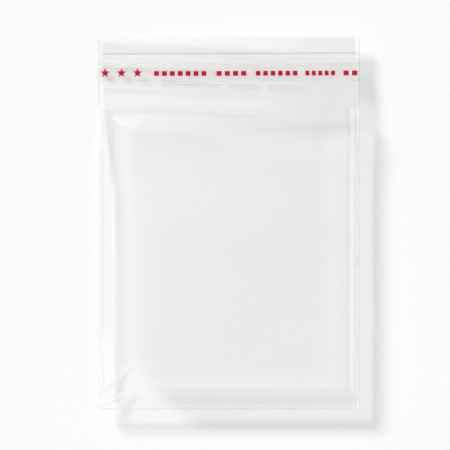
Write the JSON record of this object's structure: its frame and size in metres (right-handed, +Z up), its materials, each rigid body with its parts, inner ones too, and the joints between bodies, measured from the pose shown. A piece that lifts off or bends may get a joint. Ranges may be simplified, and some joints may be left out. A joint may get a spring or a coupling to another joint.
{
  "type": "resealable poly bag",
  "caption": "Clear poly bag lying flat, open at the mouth, with an adhesive strip under a release liner on its lip.",
  "frame": {"origin": "on the table under the middle of the bag's box", "axes": "+X across the bag, to the right when the tape faces the viewer and the lip is at the top; +Y along the bag from the bottom fold to the lip; +Z up off the table, out of the front panel"},
  "size_m": [0.1794, 0.254, 0.0168],
  "materials": {
    "clear_film": "glossy clear film",
    "adhesive": "clear tacky adhesive",
    "liner": "satin film printed in red"
  },
  "bodies": {
    "root": {"bag_film": "clear_film", "adhesive_strip": "adhesive", "release_liner": "liner"}
  },
  "joints": []
}
